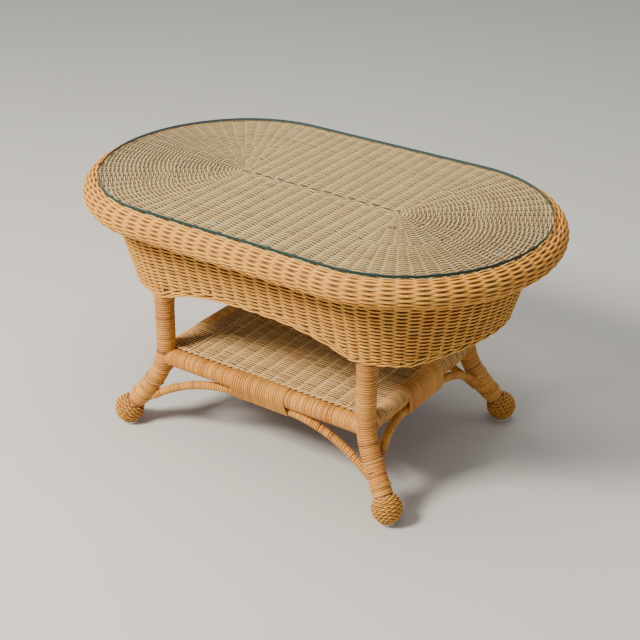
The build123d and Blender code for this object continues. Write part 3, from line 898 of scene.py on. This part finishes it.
# ---- shelf --------------------------------------------------------------------------------------
SHELF_SWING, SHELF_PITCH = 2.1 * MM, 3.15 * MM
SHELF_EDGE = 169 * MM  # where the outermost reeds lie, on the inner side of the side rails
SHELF_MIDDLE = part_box("shelf_weave")[1][2] - SHELF_SWING - MAT_REED + 0.8 * MM
SHELF_SPACES, LAST_STAKE = 12, 170 * MM
SHELF_STAKES_X = np.linspace(-LAST_STAKE, LAST_STAKE, SHELF_SPACES + 1)
SHELF_STAKE, SHELF_STAKE_FLAT = 4.6 * MM, 0.25
UNDERLAY_COUNT, UNDERLAY_END, UNDERLAY_DROP = 85, 224.7 * MM, 4.0 * MM
UNDERLAY_STAKE, UNDERLAY_FLAT = 2.8 * MM, 0.3
MAT_TURN = np.radians(np.linspace(14, 112, 9))  # over an end rail, from its outer side to its inner one
SELVEDGE_LAY, SELVEDGE_END = 27 * MM, 17 * MM
CROSS_BINDING = LAST_STAKE + 11 * MM


def mat_profile():
    """A shelf reed's places along X, its heights, and the phase of its stretch from stake to stake."""
    end_rail, _ = rail_line("right")
    rail_x, rail_z = end_rail[0][0], end_rail[0][2]
    phase = np.arange(SHELF_SPACES * 6 + 1) / 6
    flat_x = np.interp(phase, np.arange(SHELF_SPACES + 1), SHELF_STAKES_X)
    over = RAIL_RADIUS + 0.4 * MM
    tip_x, tip_z = rail_x + over * np.cos(MAT_TURN), rail_z + over * np.sin(MAT_TURN)
    bridge = np.linspace(0.15, 0.85, 6)
    bridge_x = tip_x[-1] + (LAST_STAKE - tip_x[-1]) * bridge
    bridge_z = tip_z[-1] + (SHELF_MIDDLE - tip_z[-1]) * bridge - 1.5 * MM * np.sin(math.pi * bridge)
    x = np.concatenate([-tip_x, -bridge_x, flat_x, bridge_x[::-1], tip_x[::-1]])
    z = np.concatenate([tip_z, bridge_z, np.full(len(flat_x), SHELF_MIDDLE), bridge_z[::-1], tip_z[::-1]])
    return x, z, phase


def shelf_rows():
    """Long reeds from end rail to end rail. Every second one ends at the cross binding."""
    x, z, phase = mat_profile()
    ys = np.linspace(-SHELF_EDGE, SHELF_EDGE, int(2 * SHELF_EDGE / SHELF_PITCH) + 1)
    count, lead = len(ys), (len(x) - len(phase)) // 2
    wave = np.zeros((count, len(x)))
    wave[:, lead : lead + len(phase)] = swings(phase[None], np.arange(count)[:, None], 0.8)
    drift = np.stack([wander(len(x), 12, 0.4 * MM) for _ in range(count)])
    points = np.zeros((count, len(x), 3))
    points[..., 0] = x
    points[..., 1] = ys[:, None] + drift
    points[..., 2] = z + wave * SHELF_SWING
    tones = RNG.normal(0.5, 0.15, (count, 1)) + np.stack([wander(len(x), 10, 0.08) for _ in range(count)])
    # hidden is painted shade where a reed passes under a stake
    tones, hidden = np.clip(tones, 0, 1), np.clip(-1.3 * wave, 0, 1)
    keep = np.ones(wave.shape, bool)
    keep[1::2, : lead - 1] = keep[1::2, 1 - lead :] = False
    mat = Bundle()
    mat.reeds(points, np.broadcast_to(UP, points.shape), MAT_REED, tones, keep=keep, hidden=hidden)
    mat.build("shelf_rows", PALE, "shelf_weave", slot="shelf_wicker")


def shelf_stakes():
    """The cross stakes, and a close-set underlay that hides the floor. Both are dark with painted shade: the
    underlay stands for the shade under the mat.
    """
    stakes = Bundle()
    y = np.linspace(-SHELF_EDGE, SHELF_EDGE, 12)

    def across(places, height, width, flat):
        line = np.zeros((len(places), len(y), 3))
        line[..., 0], line[..., 1], line[..., 2] = places[:, None], y[None], height
        tones = RNG.normal(0.4, 0.12, (len(places), 1))
        stakes.reeds(line, np.broadcast_to(UP, line.shape), width, tones, flat=flat)

    across(SHELF_STAKES_X, SHELF_MIDDLE, SHELF_STAKE, SHELF_STAKE_FLAT)
    # painted shade: a dark layer under the mat, so the gaps between the reeds look shaded
    underlay_x = np.linspace(-UNDERLAY_END, UNDERLAY_END, UNDERLAY_COUNT)
    across(underlay_x, SHELF_MIDDLE - UNDERLAY_DROP, UNDERLAY_STAKE, UNDERLAY_FLAT)
    stakes.build("shelf_stakes", SHADE_REED, slot="shelf_wicker")


def shelf_bindings():
    """Pairs of strands twisted along the mat's long edges, and across it beside the end rails."""
    bindings = Bundle()
    end = rail_line("right")[0][0][0] - SELVEDGE_END

    def strand(x, y, z, radius, tone):
        line = np.stack(np.broadcast_arrays(x, y, z), -1)[None]
        bindings.reeds(line, np.broadcast_to(UP, line.shape), radius, np.full((1, 1), tone))

    x, y = np.linspace(-end, end, 240), np.linspace(-SHELF_EDGE, SHELF_EDGE, 160)
    for side in (-1, 1):
        for half_turn in (0, math.pi):
            angle = 2 * math.pi * x / SELVEDGE_LAY + half_turn
            edge_y = side * (SHELF_EDGE + 3 * MM + 1.6 * MM * np.cos(angle))
            strand(x, edge_y, SHELF_MIDDLE + 1.0 * MM + 1.7 * MM * np.sin(angle), FINE_REED, 0.65)
            angle = math.pi * y / (2 * SHELF_PITCH) + half_turn
            cross_x = side * (CROSS_BINDING + 0.8 * MM * np.cos(angle))
            strand(cross_x, y, SHELF_MIDDLE + 2.0 * MM * np.sin(angle), 1.5 * MM, 0.8)
    bindings.build("shelf_edge_bindings", PALE, slot="shelf_wicker")
# ---- CAD pieces that keep their own shape ---------------------------------------------------------
def dress_frame():
    """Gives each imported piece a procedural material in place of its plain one."""
    looks = {"glass_top": GLASS, "glass_bumpers": PAD, "frame_screws": STEEL, "glide_nails": STEEL}
    for name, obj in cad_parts.items():
        material = GLIDE if name.startswith("foot_glide") else looks.get(name, POLE)
        obj.data.materials.clear()
        obj.data.materials.append(material)


# ---- studio -------------------------------------------------------------------------------------
FLOOR_HALF = 14.0
LAMPS = (  # name, place, width, watts
    ("key", (-1.3, -2.5, 2.85), 1.0, 275),
    ("overhead", (0.0, 0.0, 3.4), 2.4, 60),
)
LAMP_TARGET = Vector((0, 0, 0.25))
VIEW_RIGHT, VIEW_UP = Vector((0.82760, 0.56118, 0.01254)), Vector((-0.26752, 0.37468, 0.88772))
VIEW_PLACE, VIEW_LENS = (1.33162, -1.98271, 1.46136), 78.4


def floor():
    """A plain pale floor that reaches past every view."""
    mesh = bpy.data.meshes.new("studio_floor")
    corners = [(x * FLOOR_HALF, y * FLOOR_HALF, 0) for x, y in ((-1, -1), (1, -1), (1, 1), (-1, 1))]
    mesh.from_pydata(corners, [], [(0, 1, 2, 3)])
    material, _, shader = node_material("studio_floor")
    shader.inputs["Base Color"].default_value = (0.56, 0.56, 0.55, 1)
    shader.inputs["Roughness"].default_value = 0.9
    mesh.materials.append(material)
    plane = bpy.data.objects.new("studio_floor", mesh)
    bpy.context.scene.collection.objects.link(plane)


def lights():
    """Soft warm lamps before and above the table, in a cooler surrounding light."""
    world = bpy.data.worlds.new("studio_world")
    world.use_nodes = True
    world.node_tree.nodes["Background"].inputs["Color"].default_value = (0.96, 0.98, 1.0, 1)
    world.node_tree.nodes["Background"].inputs["Strength"].default_value = 0.40
    bpy.context.scene.world = world
    for name, place, width, watts in LAMPS:
        lamp = bpy.data.lights.new(name, "AREA")
        lamp.size, lamp.energy, lamp.color = width, watts, (1.0, 0.92, 0.79)
        obj = bpy.data.objects.new(name, lamp)
        obj.location = place
        obj.rotation_euler = (LAMP_TARGET - Vector(place)).to_track_quat("-Z", "Y").to_euler()
        bpy.context.scene.collection.objects.link(obj)


def camera():
    """A view from above the table's front right corner."""
    lens = bpy.data.cameras.new("view_camera")
    lens.lens, lens.sensor_width = VIEW_LENS, 36
    obj = bpy.data.objects.new("view_camera", lens)
    turn = Matrix((VIEW_RIGHT, VIEW_UP, VIEW_RIGHT.cross(VIEW_UP))).transposed().to_4x4()
    obj.matrix_world = Matrix.Translation(VIEW_PLACE) @ turn
    bpy.context.scene.collection.objects.link(obj)
    bpy.context.scene.camera = obj


dress_frame()
rolled_rim()
top_rows()
top_stakes()
apron()
apron_border()
for corner in CORNERS:
    leg(corner)
for corner in CORNERS:
    ball_foot(corner)
for name in RAILS:
    rail_cane(name)
    brace_cane(name)
    binding_cane(name)
ankle_bands()
ankle_strands()
shelf_rows()
shelf_stakes()
shelf_bindings()
floor()
lights()
camera()
